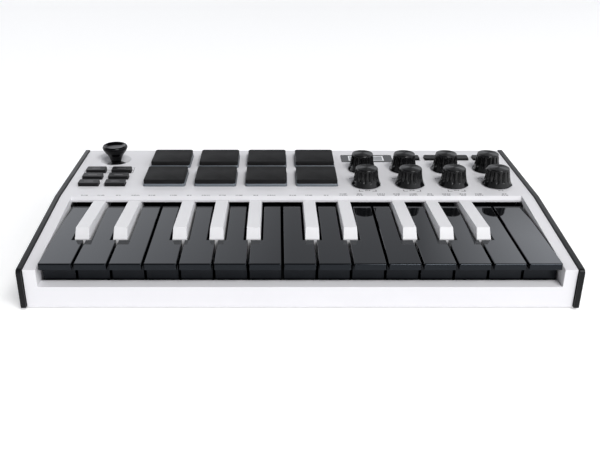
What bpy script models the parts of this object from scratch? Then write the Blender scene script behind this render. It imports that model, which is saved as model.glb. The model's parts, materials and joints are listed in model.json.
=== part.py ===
"""A small two-octave MIDI keyboard: 25 hinged keys, 8 pads, 8 knobs, 10 push buttons and a
thumb joystick in a moulded case.

Every size below is in millimetres and the helpers turn it into metres. +X runs to the right
along the keys, +Y from the player to the rear sockets, +Z up. The origin is on the surface the
keyboard stands on, under the middle of the case.
"""

import math

import bmesh
import bpy
from mathutils import Matrix, Vector

MM = 0.001
GAP = 0.3

# Case: a white top shell between the two black cheeks of the bottom case.
CASE_WIDTH = 318.0
CASE_DEPTH = 183.6
CHEEK = 3.0
SHELL_FRONT = -90.0
SHELL_REAR = 91.6
SHELL_BASE = 1.0
WALL = 2.2
FRONT_TOP = 24.8
DECK = 32.5
KINK = -2.0
REAR_RADIUS = 1.2
CHEEK_PROUD = 0.8
CHEEK_RADIUS = 2.5
CHEEK_CHAMFER = 0.5
TRAY = 2.0
FOOT_RADIUS = 6.0
FOOT_X, FOOT_Y = 140.0, 72.0
SCREW_RECESS_RADIUS = 3.2
POST_Y = (8.0, 80.0)
POST_JOINT = 10.0
SHELL_POST_RADIUS = 3.4
TRAY_POST_RADIUS = 2.3
SHELL_HALF = CASE_WIDTH / 2 - CHEEK - GAP
TRAY_TOP = SHELL_BASE + TRAY
DECK_UNDER = DECK - WALL

# Key well: open at the top and at the front, down to a low white rail.
WELL_HALF = 148.4
RAIL_FRONT = 14.0
RAIL_BACK = 14.2
RAIL_DEPTH = 8.0
FASCIA_LOW = 28.8

# Keys. They all hinge on one bar behind the fascia.
NATURALS = 15
KEY_PITCH = 19.63
KEY_GAP = 1.6
KEY_END_GAP = 0.2
KEY_FRONT = -89.0
KEY_TOP = 28.1
KEY_LIP = 3.8
KEY_LIP_DEPTH = 7.7
KEY_BOTTOM = 11.5
KEY_WALL = 1.3
KEY_ROOF = 2.0
KEY_NECK_FRONT = -7.5
KEY_NECK_TOP = 25.3
KEY_TAIL_FRONT = -9.5
KEY_TAIL_END = 13.3
KEY_TAIL_BOTTOM = 16.5
PIVOT_Y, PIVOT_Z = 9.0, 21.0
PIVOT_RADIUS = 2.0
PIVOT_RIB = 1.6
PIVOT_MOUTH = 3.4
END_PLATE = 0.8
END_PLATE_Y = (-6.0, 4.0)
SHARP_WIDTH = 8.5
SHARP_TOP_WIDTH = 7.9
SHARP_FRONT = -56.6
SHARP_TOP_FRONT, SHARP_TOP_FRONT_Z = -52.3, 33.9
SHARP_TOP_BACK, SHARP_TOP_BACK_Z = -3.5, 30.6
SHARP_CLEARANCE = 1.5
NOTCH_AHEAD = 1.2
NATURAL_NAMES = ("c", "d", "e", "f", "g", "a", "b")
# Sharp name, the natural it stands left of, and how far its centre is off the boundary.
SHARPS = (("c", 1, -1.75), ("d", 2, 1.45), ("f", 4, -2.4), ("g", 5, 0.0), ("a", 6, 2.4))

# Pads
PAD_COLUMNS = (-89.9, -55.15, -20.4, 14.35)
PAD_ROWS = (31.1, 66.95)
PAD_SIDE = 28.2
PAD_CAP_SIDE = 27.8
PAD_CORNER = 1.6
PAD_HEIGHT = 4.4
PAD_SKIRT_HEIGHT = 1.7
PAD_TRAVEL = 0.8
PLUNGER_HALF = 5.0

# Push buttons: centre columns and rows, cap size, and height over the deck.
LEFT_BUTTON_COLUMNS = (-141.6, -123.6)
LEFT_BUTTON_ROWS = (20.95, 33.55, 46.1)
LEFT_BUTTON_SIZE = (13.65, 7.5)
LEFT_BUTTON_HEIGHT = 2.3
RIGHT_BUTTON_COLUMNS = (85.55, 103.75, 121.8, 139.55)
RIGHT_BUTTON_ROW = 72.8
RIGHT_BUTTON_SIZE = (14.1, 7.8)
RIGHT_BUTTON_HEIGHT = 1.5
BUTTON_TRAVEL = 0.6
SWITCH_SIZE = (6.0, 6.0, 3.5)
STEM_HALF = 1.8

FLANGE_LOW = DECK_UNDER - GAP - 1.5
FLANGE_TOP = DECK_UNDER - GAP
FLANGE_LIP = 1.2

# Knobs
KNOB_COLUMNS = (47.85, 77.65, 107.45, 137.2)
KNOB_ROWS = (20.6, 49.6)
KNOB_HEIGHT = 12.7
KNOB_LIFT = 0.6
KNOB_SKIRT_RADIUS = 10.0
KNOB_TOP_RADIUS = 7.6
KNOB_SIDES = 24
KNOB_POINTER_DEG = -25.0
SHAFT_RADIUS = 3.0
SHAFT_HOLE_RADIUS = 4.2
POT_SIZE = (9.5, 11.0, 6.5)

# Joystick: a stem and a dome that tilt in a gimbal ring under a dish in the deck.
STICK_X, STICK_Y, STICK_Z = -132.2, 70.0, 21.0
DOME_RADIUS = 10.5
DOME_WALL = 1.4
DOME_HALF_ANGLE = 64.0
DISH_RADIUS = 11.2
DISH_LIP_RADIUS = 7.2
DISH_LIP_Z = 29.05
DISH_BOSS_RADIUS = 13.2
DISH_BOSS_LOW = 25.5
STEM_RADIUS = 3.5
HEAD_RADIUS = 9.1
HUB_RADIUS = 2.5
GIMBAL_OUTER, GIMBAL_INNER, GIMBAL_HALF_HEIGHT = 7.0, 5.0, 2.0
PIN_RADIUS = 0.8
PIN_REACH = 12.7
STICK_SIDES = 24

# Display
DISPLAY_X = (34.9, 72.3)
DISPLAY_Y = (65.2, 80.6)
LENS_THICKNESS = 1.0
WINDOW_X = (40.2, 66.2)
WINDOW_Y = (68.0, 78.2)

# Main board, behind the keys
BOARD_X = 146.0
BOARD_Y = (16.0, 86.0)
BOARD_TOP = 12.0
BOARD_THICKNESS = 1.6
DISPLAY_MODULE_TOP = 30.0

# Rear sockets
USB_X = -72.5
USB_SIZE = (12.0, 16.2, 11.0)
USB_MOUTH = (8.6, 7.9)
USB_MOUTH_DEPTH = 12.0
JACK_X = -37.8
JACK_SIZE = (14.0, 21.0, 12.6)
JACK_NOSE_RADIUS = 5.4
JACK_NOSE_LENGTH = 2.4
JACK_BORE_RADIUS = 3.25
JACK_BORE_DEPTH = 19.0
SOCKET_REAR = 91.3

WHITE = (0.80, 0.81, 0.83)
BLACK = (0.012, 0.012, 0.014)
DARK_GREY = (0.055, 0.058, 0.062)
BUTTON_GREY = (0.06, 0.06, 0.065)
LENS_GREY = (0.10, 0.105, 0.11)
BOARD_GREEN = (0.02, 0.16, 0.06)
CHASSIS_GREY = (0.12, 0.12, 0.13)
STEEL = (0.62, 0.63, 0.65)


def clear_scene():
    for obj in list(bpy.data.objects):
        bpy.data.objects.remove(obj, do_unlink=True)


def new_collection(name):
    collection = bpy.data.collections.new(name)
    bpy.context.scene.collection.children.link(collection)
    return collection


def new_material(name, colour, roughness, metallic=0.0):
    material = bpy.data.materials.new(name)
    material.use_nodes = True
    shader = material.node_tree.nodes["Principled BSDF"]
    shader.inputs["Base Color"].default_value = (*colour, 1.0)
    shader.inputs["Roughness"].default_value = roughness
    shader.inputs["Metallic"].default_value = metallic
    material.diffuse_color = (*colour, 1.0)
    return material


def link_helper(obj):
    """Puts a cutter or a joined shape among the helpers, out of the render."""
    helpers.objects.link(obj)
    obj.hide_render = True
    obj.display_type = "WIRE"
    return obj


def link_part(obj, material):
    """Puts a finished shape among the parts, in its own material."""
    if obj.name in helpers.objects:
        helpers.objects.unlink(obj)
    parts.objects.link(obj)
    obj.hide_render = False
    obj.display_type = "TEXTURED"
    obj.data.materials.clear()
    obj.data.materials.append(material)
    return obj


def box(name, low, high):
    """A box between two corners."""
    low, high = Vector(low) * MM, Vector(high) * MM
    bm = bmesh.new()
    bmesh.ops.create_cube(bm, size=1.0)
    bmesh.ops.scale(bm, vec=high - low, verts=bm.verts)
    bmesh.ops.translate(bm, vec=(high + low) / 2, verts=bm.verts)
    mesh = bpy.data.meshes.new(name)
    bm.to_mesh(mesh)
    bm.free()
    return link_helper(bpy.data.objects.new(name, mesh))


def block(name, centre, size, low, high):
    """A box from its centre and size in plan and its two heights."""
    x, y = centre
    half_x, half_y = size[0] / 2, size[1] / 2
    return box(name, (x - half_x, y - half_y, low), (x + half_x, y + half_y, high))


def rod(name, start, end, radius, sides=16, end_radius=None):
    """A cylinder, or a cone when end_radius is given, between two points."""
    start, end = Vector(start) * MM, Vector(end) * MM
    along = end - start
    bm = bmesh.new()
    bmesh.ops.create_cone(
        bm,
        cap_ends=True,
        segments=sides,
        radius1=radius * MM,
        radius2=(radius if end_radius is None else end_radius) * MM,
        depth=along.length,
    )
    turn = Vector((0, 0, 1)).rotation_difference(along).to_matrix().to_4x4()
    bmesh.ops.transform(bm, matrix=Matrix.Translation((start + end) / 2) @ turn, verts=bm.verts)
    mesh = bpy.data.meshes.new(name)
    bm.to_mesh(mesh)
    bm.free()
    return link_helper(bpy.data.objects.new(name, mesh))


def prism(name, outline, low, high, across="XY"):
    """A straight extrusion of a closed outline: an XY outline runs along Z, a YZ one along X."""
    curve = bpy.data.curves.new(name, "CURVE")
    curve.dimensions = "2D"
    curve.fill_mode = "BOTH"
    curve.extrude = (high - low) / 2 * MM
    spline = curve.splines.new("POLY")
    spline.points.add(len(outline) - 1)
    for point, (u, v) in zip(spline.points, outline):
        point.co = (u * MM, v * MM, 0.0, 1.0)
    spline.use_cyclic_u = True
    guide = link_helper(bpy.data.objects.new(name + "_outline", curve))
    middle = Matrix.Translation((0, 0, (low + high) / 2 * MM))
    turn = Matrix.Identity(4)
    if across == "YZ":
        turn = Matrix(((0, 0, 1, 0), (1, 0, 0, 0), (0, 1, 0, 0), (0, 0, 0, 1)))
    mesh = bake(guide)
    mesh.transform(turn @ middle)
    bpy.data.objects.remove(guide)
    bm = bmesh.new()
    bm.from_mesh(mesh)
    bmesh.ops.remove_doubles(bm, verts=bm.verts, dist=1e-6)
    bmesh.ops.recalc_face_normals(bm, faces=bm.faces)
    bm.to_mesh(mesh)
    bm.free()
    return link_helper(bpy.data.objects.new(name, mesh))


def turned(name, profile, sides, centre=(0, 0, 0)):
    """A solid of revolution about Z from its (radius, height) profile, listed top to bottom."""
    mesh = bpy.data.meshes.new(name)
    edges = [(i, i + 1) for i in range(len(profile) - 1)]
    mesh.from_pydata([(r * MM, 0.0, z * MM) for r, z in profile], edges, [])
    obj = link_helper(bpy.data.objects.new(name, mesh))
    screw = obj.modifiers.new("turn", "SCREW")
    screw.axis = "Z"
    screw.steps = sides
    screw.render_steps = sides
    screw.use_merge_vertices = True
    screw.merge_threshold = 1e-5
    screw.use_normal_calculate = False
    obj.location = Vector(centre) * MM
    return obj


def bake(obj):
    """The object's shape with its modifiers applied, as a new mesh."""
    bpy.context.view_layer.update()
    return bpy.data.meshes.new_from_object(obj.evaluated_get(bpy.context.evaluated_depsgraph_get()))


def combine(obj, other, operation):
    boolean = obj.modifiers.new(other.name, "BOOLEAN")
    boolean.operation = operation
    boolean.solver = "EXACT"
    boolean.object = other


def join(obj, *others):
    for other in others:
        combine(obj, other, "UNION")
    return obj


def cut(obj, *others):
    for other in others:
        combine(obj, other, "DIFFERENCE")
    return obj


def settle(obj, origin=(0, 0, 0)):
    """Applies the modifiers and moves the origin, for instance onto a joint's axis."""
    mesh = bake(obj)
    obj.modifiers.clear()
    mesh.transform(obj.matrix_world)
    origin = Vector(origin) * MM
    mesh.transform(Matrix.Translation(-origin))
    obj.data = mesh
    obj.location = origin
    return obj


def copy_at(name, mesh, centre):
    """Another object that shares a mesh, placed at its own centre."""
    obj = bpy.data.objects.new(name, mesh)
    obj.location = Vector(centre) * MM
    parts.objects.link(obj)
    return obj


def smooth(mesh, degrees=40):
    mesh.shade_smooth()
    mesh.set_sharp_from_angle(angle=math.radians(degrees))


def arc(centre, radius, start, end, steps):
    """Points along an arc, from start to end degrees."""
    angles = [math.radians(start + (end - start) * i / steps) for i in range(steps + 1)]
    return [(centre[0] + radius * math.cos(a), centre[1] + radius * math.sin(a)) for a in angles]


def rounded(size, radius, steps=2):
    """A rectangle about the origin with round corners."""
    x, y = size[0] / 2 - radius, size[1] / 2 - radius
    corners = ((x, y, 0), (-x, y, 90), (-x, -y, 180), (x, -y, 270))
    outline = []
    for corner_x, corner_y, start in corners:
        outline += arc((corner_x, corner_y), radius, start, start + 90, steps)
    return outline


def moved(outline, centre):
    return [(u + centre[0], v + centre[1]) for u, v in outline]


# ---------------------------------------------------------------- case


def deck_openings():
    """Cutters for everything that comes up through the deck."""
    over, under = DECK + 1, DECK_UNDER - 1
    hole = PAD_SIDE + 2 * GAP
    cutters = []
    for row, y in enumerate(PAD_ROWS):
        for column, x in enumerate(PAD_COLUMNS):
            outline = moved(rounded((hole, hole), PAD_CORNER), (x, y))
            cutters.append(prism(f"pad_hole_{row}{column}", outline, under, over))
    for y in KNOB_ROWS:
        for x in KNOB_COLUMNS:
            cutters.append(rod("knob_hole", (x, y, under), (x, y, over), SHAFT_HOLE_RADIUS, 12))
    for name, centre, size, _ in buttons():
        hole = (size[0] + 2 * GAP, size[1] + 2 * GAP)
        cutters.append(block(name + "_hole", centre, hole, under, over))
    lens_low = DECK - LENS_THICKNESS - GAP
    low = (DISPLAY_X[0] - GAP, DISPLAY_Y[0] - GAP, lens_low)
    high = (DISPLAY_X[1] + GAP, DISPLAY_Y[1] + GAP, over)
    cutters.append(box("display_recess", low, high))
    low = (WINDOW_X[0], WINDOW_Y[0], under)
    high = (WINDOW_X[1], WINDOW_Y[1], over)
    cutters.append(box("display_window", low, high))
    return cutters


def joystick_dish():
    """The cone that opens to the deck, and the ball-shaped room for the dome under it."""
    slope = (DISH_RADIUS - DISH_LIP_RADIUS) / (DECK - DISH_LIP_Z)
    above = 1.0
    cone = rod(
        "dish_cone",
        (STICK_X, STICK_Y, DISH_LIP_Z - above),
        (STICK_X, STICK_Y, DECK + above),
        DISH_LIP_RADIUS - slope * above,
        STICK_SIDES,
        DISH_RADIUS + slope * above,
    )
    radius = DOME_RADIUS + GAP
    profile = arc((0, 0), radius, 90, -90, 12)
    ball = turned("dish_room", profile, STICK_SIDES, (STICK_X, STICK_Y, STICK_Z))
    return cone, ball


def rear_openings():
    over = SHELL_REAR + 1
    under = SHELL_REAR - WALL - 1
    half = USB_SIZE[0] / 2 + GAP
    low = BOARD_TOP
    usb = box("usb_hole", (USB_X - half, under, low), (USB_X + half, over, low + USB_SIZE[2] + 2 * GAP))
    z = BOARD_TOP + GAP + JACK_SIZE[2] / 2
    jack = rod("jack_hole", (JACK_X, under, z), (JACK_X, over, z), JACK_NOSE_RADIUS + GAP, 24)
    return usb, jack


def make_top_shell(material):
    rear = SHELL_REAR - REAR_RADIUS
    outline = [(SHELL_FRONT, SHELL_BASE), (SHELL_FRONT, FRONT_TOP), (KINK, DECK)]
    outline += arc((rear, DECK - REAR_RADIUS), REAR_RADIUS, 90, 0, 4)
    outline += [(SHELL_REAR, SHELL_BASE)]
    shell = prism("top_shell", outline, -SHELL_HALF, SHELL_HALF, "YZ")

    below, above = SHELL_BASE - 1, DECK + 10
    rail_back = SHELL_FRONT + RAIL_DEPTH
    fascia_back = KINK + WALL
    well = [
        (SHELL_FRONT - 1, RAIL_FRONT),
        (SHELL_FRONT, RAIL_FRONT),
        (rail_back, RAIL_BACK),
        (rail_back, below),
        (fascia_back + GAP, below),
        (fascia_back + GAP, FASCIA_LOW),
        (KINK, FASCIA_LOW),
        (KINK, above),
        (SHELL_FRONT - 1, above),
    ]
    inside = SHELL_HALF - WALL
    front_in = SHELL_FRONT + WALL
    rear_in = SHELL_REAR - WALL
    side_pocket = [
        (front_in, below),
        (fascia_back + GAP, below),
        (fascia_back + GAP, FASCIA_LOW),
        (KINK, FASCIA_LOW),
        (front_in, FRONT_TOP - WALL),
    ]
    cut(
        shell,
        prism("key_well", well, -WELL_HALF, WELL_HALF, "YZ"),
        box("under_deck", (-inside, fascia_back, below), (inside, rear_in, DECK_UNDER)),
        box("under_rail", (-WELL_HALF, front_in, below), (WELL_HALF, rail_back + 1, RAIL_FRONT - WALL)),
        prism("left_pocket", side_pocket, -inside, -WELL_HALF - WALL, "YZ"),
        prism("right_pocket", side_pocket, WELL_HALF + WALL, inside, "YZ"),
        box("tray_room", (-SHELL_HALF - 1, front_in, below), (SHELL_HALF + 1, rear_in, TRAY_TOP + GAP)),
    )
    boss_low, boss_high = (STICK_X, STICK_Y, DISH_BOSS_LOW), (STICK_X, STICK_Y, DECK - 0.5)
    join(shell, rod("dish_boss", boss_low, boss_high, DISH_BOSS_RADIUS, STICK_SIDES))
    for x, y in screw_posts():
        join(shell, rod("shell_post", (x, y, POST_JOINT), (x, y, DECK - 0.5), SHELL_POST_RADIUS, 12))
    cut(shell, *joystick_dish(), *rear_openings(), *deck_openings())
    return link_part(shell, material)


def screw_posts():
    """Where the two case halves screw together, beside the main board."""
    x = SHELL_HALF - WALL - 2.8
    return [(side * x, y) for side in (-1, 1) for y in POST_Y]


def make_bottom_case(material):
    side = CASE_WIDTH / 2
    low = (-side + 1, SHELL_FRONT + WALL + GAP, SHELL_BASE)
    high = (side - 1, SHELL_REAR - WALL - GAP, TRAY_TOP)
    case = box("bottom_case", low, high)
    front, rear = -CASE_DEPTH / 2, CASE_DEPTH / 2
    top = DECK + CHEEK_PROUD
    corner = REAR_RADIUS + 1
    slope = (DECK - FRONT_TOP) / (KINK - SHELL_FRONT)
    nose_y = front + CHEEK_RADIUS
    nose_z = FRONT_TOP + CHEEK_PROUD + slope * (nose_y - SHELL_FRONT) - CHEEK_RADIUS
    outline = [(front + CHEEK_CHAMFER, SHELL_BASE), (front, SHELL_BASE + CHEEK_CHAMFER)]
    outline += arc((nose_y, nose_z), CHEEK_RADIUS, 180, 90 + math.degrees(slope), 4)
    outline += [(KINK, top)]
    outline += arc((rear - corner, top - corner), corner, 90, 0, 4)
    outline += [(rear, SHELL_BASE + CHEEK_CHAMFER), (rear - CHEEK_CHAMFER, SHELL_BASE)]
    join(
        case,
        prism("left_cheek", outline, -side, -side + CHEEK, "YZ"),
        prism("right_cheek", outline, side - CHEEK, side, "YZ"),
    )
    for x in (-FOOT_X, FOOT_X):
        for y in (-FOOT_Y, FOOT_Y):
            join(case, rod("foot", (x, y, 0), (x, y, TRAY_TOP - 0.5), FOOT_RADIUS, 24))
    for x, y in screw_posts():
        join(case, rod("tray_post", (x, y, SHELL_BASE + 1), (x, y, POST_JOINT - GAP), TRAY_POST_RADIUS, 12))
    for x in (-100.0, 0.0, 100.0):
        for y in (22.0, 80.0):
            top = BOARD_TOP - BOARD_THICKNESS - GAP
            join(case, rod("board_stand", (x, y, SHELL_BASE + 1), (x, y, top), 3.0, 12))
            recess = (x, y - 3 if y > 50 else y, SHELL_BASE)
            start, end = (recess[0], recess[1], SHELL_BASE - 1), (recess[0], recess[1], SHELL_BASE + 1.0)
            cut(case, rod("screw_recess", start, end, SCREW_RECESS_RADIUS, 16))
    return link_part(case, material)


# ---------------------------------------------------------------- keys


def boundary_x(index):
    """The line between one natural and the next."""
    return (index - NATURALS / 2) * KEY_PITCH


def sharp_centres():
    """Sharp names and centres, by the index of the natural to their right."""
    found = {}
    for octave in (0, 1):
        for letter, index, offset in SHARPS:
            index += octave * len(NATURAL_NAMES)
            found[index] = (f"key_{letter}_sharp_{octave + 1}", boundary_x(index) + offset)
    return found


def natural_outline(index, inset=0.0):
    """A natural seen from above, notched where its neighbouring sharps stand."""
    sharps = sharp_centres()
    left = boundary_x(index) + (KEY_GAP / 2 if index > 0 else KEY_END_GAP) + inset
    right = boundary_x(index + 1) - (KEY_GAP / 2 if index < NATURALS - 1 else KEY_END_GAP) - inset
    notch = SHARP_FRONT - NOTCH_AHEAD - inset
    front, rear = KEY_FRONT + inset, KEY_TAIL_END - inset
    reach = SHARP_WIDTH / 2 + SHARP_CLEARANCE + inset
    outline = [(left, front), (right, front)]
    if index + 1 in sharps:
        stem_right = sharps[index + 1][1] - reach
        outline += [(right, notch), (stem_right, notch), (stem_right, rear)]
    else:
        outline += [(right, rear)]
    if index in sharps:
        stem_left = sharps[index][1] + reach
        outline += [(stem_left, rear), (stem_left, notch), (left, notch)]
    else:
        outline += [(left, rear)]
    return outline


def key_cutters():
    """Cutters that every key shares, round the hinge bar and under the tail, and the naturals' own two."""
    side = NATURALS * KEY_PITCH / 2 + 5
    axis = (PIVOT_Y, PIVOT_Z)
    half = PIVOT_MOUTH / 2
    low = KEY_BOTTOM - 1
    bar = rod("bar_room", (-side, *axis), (side, *axis), PIVOT_RADIUS + GAP, 16)
    mouth = box("bar_mouth", (-side, PIVOT_Y - half, low), (side, PIVOT_Y + half, PIVOT_Z))
    tail = box("under_tail", (-side, KEY_TAIL_FRONT, low), (side, KEY_TAIL_END + 1, KEY_TAIL_BOTTOM))
    lip_end = KEY_FRONT + KEY_LIP_DEPTH
    lip = box("under_lip", (-side, KEY_FRONT - 1, low), (side, lip_end, KEY_TOP - KEY_LIP))
    neck = box("over_neck", (-side, KEY_NECK_FRONT, KEY_NECK_TOP), (side, KEY_TAIL_END + 1, KEY_TOP + 1))
    return (tail, mouth, bar), (lip, neck)


def make_naturals(material, shared, own):
    for index in range(NATURALS):
        octave, letter = divmod(index, len(NATURAL_NAMES))
        name = f"key_{NATURAL_NAMES[letter]}_{octave + 1}"
        key = prism(name, natural_outline(index), KEY_BOTTOM, KEY_TOP)
        hollow = prism(name + "_hollow", natural_outline(index, KEY_WALL), KEY_BOTTOM - 1, KEY_TOP - KEY_ROOF)
        behind = box("tail", (-200, KEY_TAIL_FRONT, 0), (200, 50, DECK))
        ahead = box("lip", (-200, -200, 0), (200, KEY_FRONT + KEY_LIP_DEPTH + KEY_WALL, DECK))
        cut(hollow, behind, ahead)
        cut(key, *own, settle(hollow), *shared)
        settle(key, (0.0, PIVOT_Y, PIVOT_Z))
        link_part(key, material)
        for helper in (behind, ahead):
            bpy.data.objects.remove(helper)


def narrow_above(obj, height, factor):
    """Splits a mesh's sides at a height and narrows what stands above it."""
    bm = bmesh.new()
    bm.from_mesh(obj.data)
    everything = bm.verts[:] + bm.edges[:] + bm.faces[:]
    bmesh.ops.bisect_plane(bm, geom=everything, dist=1e-6, plane_co=(0, 0, height * MM), plane_no=(0, 0, 1))
    for vertex in bm.verts:
        if vertex.co.z > height * MM + 1e-5:
            vertex.co.x *= factor
    bm.to_mesh(obj.data)
    bm.free()


def make_sharps(material, shared):
    half = SHARP_WIDTH / 2
    outline = [
        (SHARP_FRONT, KEY_BOTTOM),
        (SHARP_FRONT, KEY_TOP),
        (SHARP_TOP_FRONT, SHARP_TOP_FRONT_Z),
        (SHARP_TOP_BACK, SHARP_TOP_BACK_Z),
        (SHARP_TOP_BACK, KEY_TOP),
        (KEY_TAIL_END, KEY_TOP),
        (KEY_TAIL_END, KEY_BOTTOM),
    ]
    for name, x in sharp_centres().values():
        key = prism(name, outline, -half, half, "YZ")
        narrow_above(key, KEY_TOP, SHARP_TOP_WIDTH / SHARP_WIDTH)
        low = (-half + KEY_WALL, SHARP_FRONT + KEY_WALL, KEY_BOTTOM - 1)
        high = (half - KEY_WALL, KEY_TAIL_FRONT, KEY_TOP - KEY_ROOF)
        cut(key, box(name + "_hollow", low, high), *shared)
        settle(key, (0.0, PIVOT_Y, PIVOT_Z))
        key.location.x = x * MM
        link_part(key, material)


def make_chassis(material):
    """The frame under the keys: a plate, a guide post in each key, the hinge bar and two end plates."""
    side = NATURALS * KEY_PITCH / 2 - 0.8
    end = WELL_HALF - GAP
    floor = TRAY_TOP + GAP
    floor_top = floor + 2.0
    chassis = box("keybed_chassis", (-end, -79.0, floor), (end, KEY_TAIL_END, floor_top))
    for near, far in ((-end, -end + END_PLATE), (end - END_PLATE, end)):
        low, high = (near, END_PLATE_Y[0], floor + 0.5), (far, END_PLATE_Y[1], FASCIA_LOW - 0.4)
        join(chassis, box("end_plate", low, high))
    rib_low = (-side, PIVOT_Y - PIVOT_RIB / 2, floor + 0.5)
    join(chassis, box("hinge_rib", rib_low, (side, PIVOT_Y + PIVOT_RIB / 2, PIVOT_Z)))
    join(chassis, rod("hinge_bar", (-side, PIVOT_Y, PIVOT_Z), (side, PIVOT_Y, PIVOT_Z), PIVOT_RADIUS, 12))
    post = (3.0, 4.0)
    for index in range(NATURALS):
        centre = (boundary_x(index + 0.5), -72.0)
        join(chassis, block("natural_post", centre, post, floor + 0.5, 15.0))
    for _, x in sharp_centres().values():
        join(chassis, block("sharp_post", (x, -45.0), post, floor + 0.5, 15.0))
    return link_part(chassis, material)


# ---------------------------------------------------------------- pads, buttons, knobs


def make_pads(material):
    bottom = BOARD_TOP + PAD_TRAVEL + GAP - DECK
    flange = PAD_SIDE + 2 * FLANGE_LIP
    shoulder = PAD_SKIRT_HEIGHT
    pad = prism("pad_shape", rounded((PAD_SIDE, PAD_SIDE), PAD_CORNER), FLANGE_LOW - DECK, shoulder)
    cap = prism("pad_cap", rounded((PAD_CAP_SIDE, PAD_CAP_SIDE), PAD_CORNER), shoulder - 0.5, PAD_HEIGHT)
    under = FLANGE_LOW - DECK
    join(
        pad,
        cap,
        block("pad_flange", (0, 0), (flange, flange), under, FLANGE_TOP - DECK),
        block("pad_plunger", (0, 0), (2 * PLUNGER_HALF, 2 * PLUNGER_HALF), bottom, under + 0.5),
    )
    mesh = settle(pad).data
    mesh.materials.append(material)
    number = 0
    for y in PAD_ROWS:
        for x in PAD_COLUMNS:
            number += 1
            copy_at(f"pad_{number}", mesh, (x, y, DECK))


def buttons():
    """Name, centre, cap size and cap height of every push button."""
    found = []
    for row, y in enumerate(LEFT_BUTTON_ROWS):
        for column, x in enumerate(LEFT_BUTTON_COLUMNS):
            name = f"left_button_{2 * row + column + 1}"
            found.append((name, (x, y), LEFT_BUTTON_SIZE, LEFT_BUTTON_HEIGHT))
    for column, x in enumerate(RIGHT_BUTTON_COLUMNS):
        name = f"right_button_{column + 1}"
        found.append((name, (x, RIGHT_BUTTON_ROW), RIGHT_BUTTON_SIZE, RIGHT_BUTTON_HEIGHT))
    return found


def button_mesh(name, size, height, material):
    under = FLANGE_LOW - DECK
    bottom = BOARD_TOP + SWITCH_SIZE[2] + BUTTON_TRAVEL + GAP - DECK
    cap = prism(name, rounded(size, 0.8, 1), under, height)
    flange = (size[0] + 2 * FLANGE_LIP, size[1] + 2 * FLANGE_LIP)
    join(
        cap,
        block(name + "_flange", (0, 0), flange, under, FLANGE_TOP - DECK),
        block(name + "_stem", (0, 0), (2 * STEM_HALF, 2 * STEM_HALF), bottom, under + 0.5),
    )
    mesh = settle(cap).data
    mesh.materials.append(material)
    return mesh


def make_buttons(material):
    left = button_mesh("left_button_shape", LEFT_BUTTON_SIZE, LEFT_BUTTON_HEIGHT, material)
    right = button_mesh("right_button_shape", RIGHT_BUTTON_SIZE, RIGHT_BUTTON_HEIGHT, material)
    for name, centre, size, _ in buttons():
        mesh = left if size == LEFT_BUTTON_SIZE else right
        copy_at(name, mesh, (*centre, DECK))


def make_knobs(material):
    shaft_end = BOARD_TOP + POT_SIZE[2] + GAP - DECK
    profile = [
        (0.0, KNOB_HEIGHT),
        (KNOB_TOP_RADIUS - 0.9, KNOB_HEIGHT - 0.3),
        (KNOB_TOP_RADIUS, KNOB_HEIGHT - 1.2),
        (7.9, 8.0),
        (8.1, 6.0),
        (8.4, 4.3),
        (8.9, 2.9),
        (9.6, 1.8),
        (KNOB_SKIRT_RADIUS, 1.2),
        (KNOB_SKIRT_RADIUS, KNOB_LIFT),
        (SHAFT_RADIUS, KNOB_LIFT),
        (SHAFT_RADIUS, shaft_end),
        (0.0, shaft_end),
    ]
    knob = turned("knob_shape", profile, KNOB_SIDES)
    reach = math.radians(KNOB_POINTER_DEG)
    x, y = math.cos(reach), math.sin(reach)
    foot, tip = (8.5 * x, 8.5 * y, 1.4), (10.4 * x, 10.4 * y, 1.4)
    join(knob, rod("knob_pointer", foot, tip, 0.7, 8))
    mesh = settle(knob).data
    mesh.materials.append(material)
    smooth(mesh)
    number = 0
    for y in reversed(KNOB_ROWS):
        for x in KNOB_COLUMNS:
            number += 1
            copy_at(f"knob_{number}", mesh, (x, y, DECK))


# ---------------------------------------------------------------- joystick


def make_joystick(material):
    """Stem, head and dome, turned about the upright axis through the gimbal's centre."""
    inner = DOME_RADIUS - DOME_WALL
    outer_start = math.degrees(math.acos(STEM_RADIUS / DOME_RADIUS))
    inner_end = math.degrees(math.acos(HUB_RADIUS / inner))
    edge = 90 - DOME_HALF_ANGLE
    above = DECK - STICK_Z
    profile = [
        (0.0, above + 10.6),
        (5.6, above + 10.6),
        (7.0, above + 11.5),
        (HEAD_RADIUS - 0.6, above + 11.1),
        (HEAD_RADIUS, above + 10.0),
        (HEAD_RADIUS - 0.3, above + 8.8),
        (7.6, above + 6.7),
        (5.8, above + 4.2),
        (4.6, above + 1.6),
        (4.0, above - 0.3),
    ]
    profile += arc((0, 0), DOME_RADIUS, outer_start, edge, 5)
    profile += arc((0, 0), inner, edge, inner_end, 4)
    profile += [(HUB_RADIUS, -2.8), (0.0, -2.8)]
    stick = turned("joystick", profile, STICK_SIDES, (STICK_X, STICK_Y, STICK_Z))
    reach = (GIMBAL_OUTER + GIMBAL_INNER) / 2 + 0.3
    start = (STICK_X, STICK_Y - reach, STICK_Z)
    join(stick, rod("stick_pin", start, (STICK_X, STICK_Y + reach, STICK_Z), PIN_RADIUS, 8))
    settle(stick, (STICK_X, STICK_Y, STICK_Z))
    smooth(stick.data)
    return link_part(stick, material)


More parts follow.
